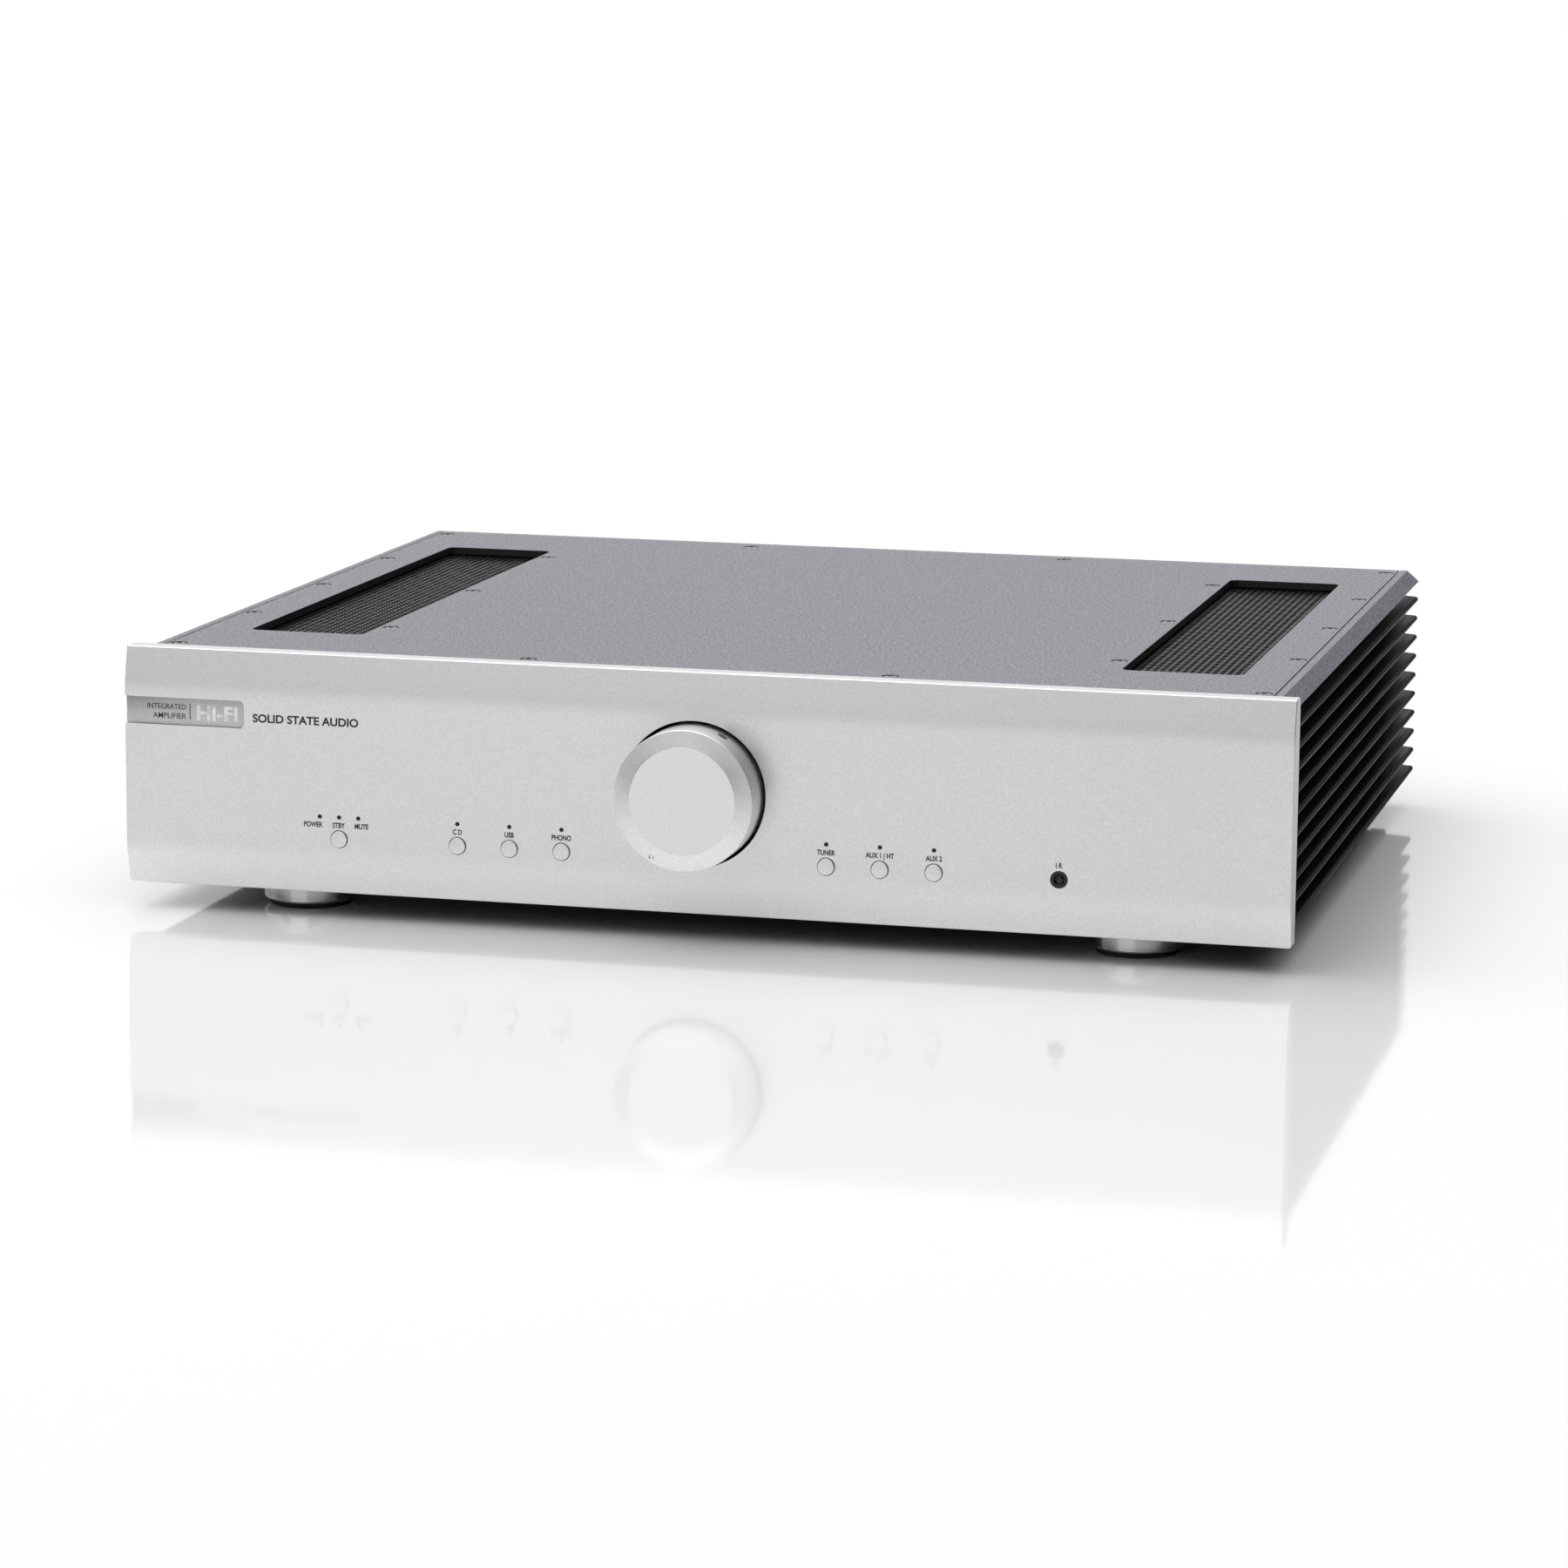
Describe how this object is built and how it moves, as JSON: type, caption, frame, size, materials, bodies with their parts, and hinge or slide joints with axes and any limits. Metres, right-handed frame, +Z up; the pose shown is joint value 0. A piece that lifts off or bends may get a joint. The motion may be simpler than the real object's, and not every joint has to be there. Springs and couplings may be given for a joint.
{
  "type": "integrated amplifier",
  "caption": "Full-width stereo amplifier with a large volume knob, round push buttons, side heatsinks, a vented top cover and rear sockets.",
  "frame": {"origin": "middle of the footprint, on the surface that the feet stand on", "axes": "+X to the right as seen from the front, +Y from the front panel to the rear, +Z up"},
  "size_m": [0.44, 0.4, 0.1],
  "materials": {
    "panel_silver": "bead-blasted silver anodised",
    "badge_grey": "satin anodised",
    "cover_powder": "fine textured powder coat",
    "fin_black": "dark anodised",
    "black_steel": "satin black",
    "black_plastic": "moulded",
    "red_plastic": "moulded",
    "dark_lens": "polished",
    "foot_metal": "polished",
    "foot_rubber": "matt",
    "steel_parts": "zinc plated",
    "winding": "wrapped in amber tape",
    "board": "solder mask",
    "capacitor_sleeve": "shrunk sleeve",
    "contact_gold": "plated",
    "fuse_glass": "glazed"
  },
  "bodies": {
    "chassis": {"front_panel": "panel_silver", "badge_plate": "badge_grey", "light_pipes_status": "dark_lens", "light_pipes_inputs_left": "dark_lens", "light_pipes_inputs_right": "dark_lens", "receiver_window": "dark_lens", "front_subchassis": "black_steel", "control_board": "board", "volume_pot": "steel_parts", "top_cover": "cover_powder", "vent_mesh_left": "black_steel", "vent_mesh_right": "black_steel", "heatsink_left": "fin_black", "heatsink_right": "fin_black", "base_tray": "black_steel", "rear_panel": "black_steel", "foot_front_left": "foot_metal", "foot_front_right": "foot_metal", "foot_rear_left": "foot_metal", "foot_rear_right": "foot_metal", "foot_pad_front_left": "foot_rubber", "foot_pad_front_right": "foot_rubber", "foot_pad_rear_left": "foot_rubber", "foot_pad_rear_right": "foot_rubber", "transformer": "winding", "transformer_clamp": "steel_parts", "transformer_bolt": "steel_parts", "power_supply_board": "board", "capacitor_left": "capacitor_sleeve", "capacitor_right": "capacitor_sleeve", "amp_board_left": "board", "amp_board_right": "board", "input_board": "board", "socket_block_1": "contact_gold", "socket_block_2": "contact_gold", "socket_block_3": "contact_gold", "data_socket": "steel_parts", "ground_post": "contact_gold", "speaker_terminal_left": "black_plastic", "speaker_terminal_right": "black_plastic", "mains_inlet": "black_plastic", "rocker_housing": "black_plastic"},
    "volume_knob": {"volume_knob": "panel_silver", "knob_grub_screw": "steel_parts", "volume_shaft": "steel_parts"},
    "standby_button": {"standby_button": "panel_silver"},
    "input_button_1": {"input_button_1": "panel_silver"},
    "input_button_2": {"input_button_2": "panel_silver"},
    "input_button_3": {"input_button_3": "panel_silver"},
    "input_button_4": {"input_button_4": "panel_silver"},
    "input_button_5": {"input_button_5": "panel_silver"},
    "input_button_6": {"input_button_6": "panel_silver"},
    "fuse_drawer": {"fuse_drawer": "black_plastic", "mains_fuse": "fuse_glass"},
    "mains_rocker": {"mains_rocker": "black_plastic"},
    "binding_nut_left_black": {"binding_nut_left_black": "black_plastic"},
    "binding_nut_left_red": {"binding_nut_left_red": "red_plastic"},
    "binding_nut_right_black": {"binding_nut_right_black": "black_plastic"},
    "binding_nut_right_red": {"binding_nut_right_red": "red_plastic"},
    "ground_nut": {"ground_nut": "contact_gold"}
  },
  "joints": [
    {"name": "volume_turn", "type": "hinge", "parent": "chassis", "child": "volume_knob", "pos_m": [0, -0.185, 0.0553], "axis": [0, 1, 0], "range_deg": [0, 300]},
    {"name": "standby_button_press", "type": "slide", "parent": "chassis", "child": "standby_button", "axis": [0, 1, 0], "range_m": [0, 0.0008], "stiffness_N_per_m": 800},
    {"name": "input_button_1_press", "type": "slide", "parent": "chassis", "child": "input_button_1", "axis": [0, 1, 0], "range_m": [0, 0.0008], "stiffness_N_per_m": 800},
    {"name": "input_button_2_press", "type": "slide", "parent": "chassis", "child": "input_button_2", "axis": [0, 1, 0], "range_m": [0, 0.0008], "stiffness_N_per_m": 800},
    {"name": "input_button_3_press", "type": "slide", "parent": "chassis", "child": "input_button_3", "axis": [0, 1, 0], "range_m": [0, 0.0008], "stiffness_N_per_m": 800},
    {"name": "input_button_4_press", "type": "slide", "parent": "chassis", "child": "input_button_4", "axis": [0, 1, 0], "range_m": [0, 0.0008], "stiffness_N_per_m": 800},
    {"name": "input_button_5_press", "type": "slide", "parent": "chassis", "child": "input_button_5", "axis": [0, 1, 0], "range_m": [0, 0.0008], "stiffness_N_per_m": 800},
    {"name": "input_button_6_press", "type": "slide", "parent": "chassis", "child": "input_button_6", "axis": [0, 1, 0], "range_m": [0, 0.0008], "stiffness_N_per_m": 800},
    {"name": "rocker_tilt", "type": "hinge", "parent": "chassis", "child": "mains_rocker", "pos_m": [-0.108, 0.171, 0.056], "axis": [-1, 0, 0], "range_deg": [0, 20]},
    {"name": "fuse_drawer_slide", "type": "slide", "parent": "chassis", "child": "fuse_drawer", "axis": [0, 1, 0], "range_m": [0, 0.016]},
    {"name": "binding_nut_left_black_unscrew", "type": "hinge", "parent": "chassis", "child": "binding_nut_left_black", "pos_m": [-0.0575, 0.19, 0.06], "axis": [0, 1, 0], "range_deg": [0, 1080]},
    {"name": "binding_nut_left_red_unscrew", "type": "hinge", "parent": "chassis", "child": "binding_nut_left_red", "pos_m": [-0.0385, 0.19, 0.06], "axis": [0, 1, 0], "range_deg": [0, 1080]},
    {"name": "binding_nut_right_black_unscrew", "type": "hinge", "parent": "chassis", "child": "binding_nut_right_black", "pos_m": [0.0045, 0.19, 0.06], "axis": [0, 1, 0], "range_deg": [0, 1080]},
    {"name": "binding_nut_right_red_unscrew", "type": "hinge", "parent": "chassis", "child": "binding_nut_right_red", "pos_m": [0.0235, 0.19, 0.06], "axis": [0, 1, 0], "range_deg": [0, 1080]},
    {"name": "ground_nut_unscrew", "type": "hinge", "parent": "chassis", "child": "ground_nut", "pos_m": [0.188, 0.182, 0.082], "axis": [0, 1, 0], "range_deg": [0, 720]}
  ]
}
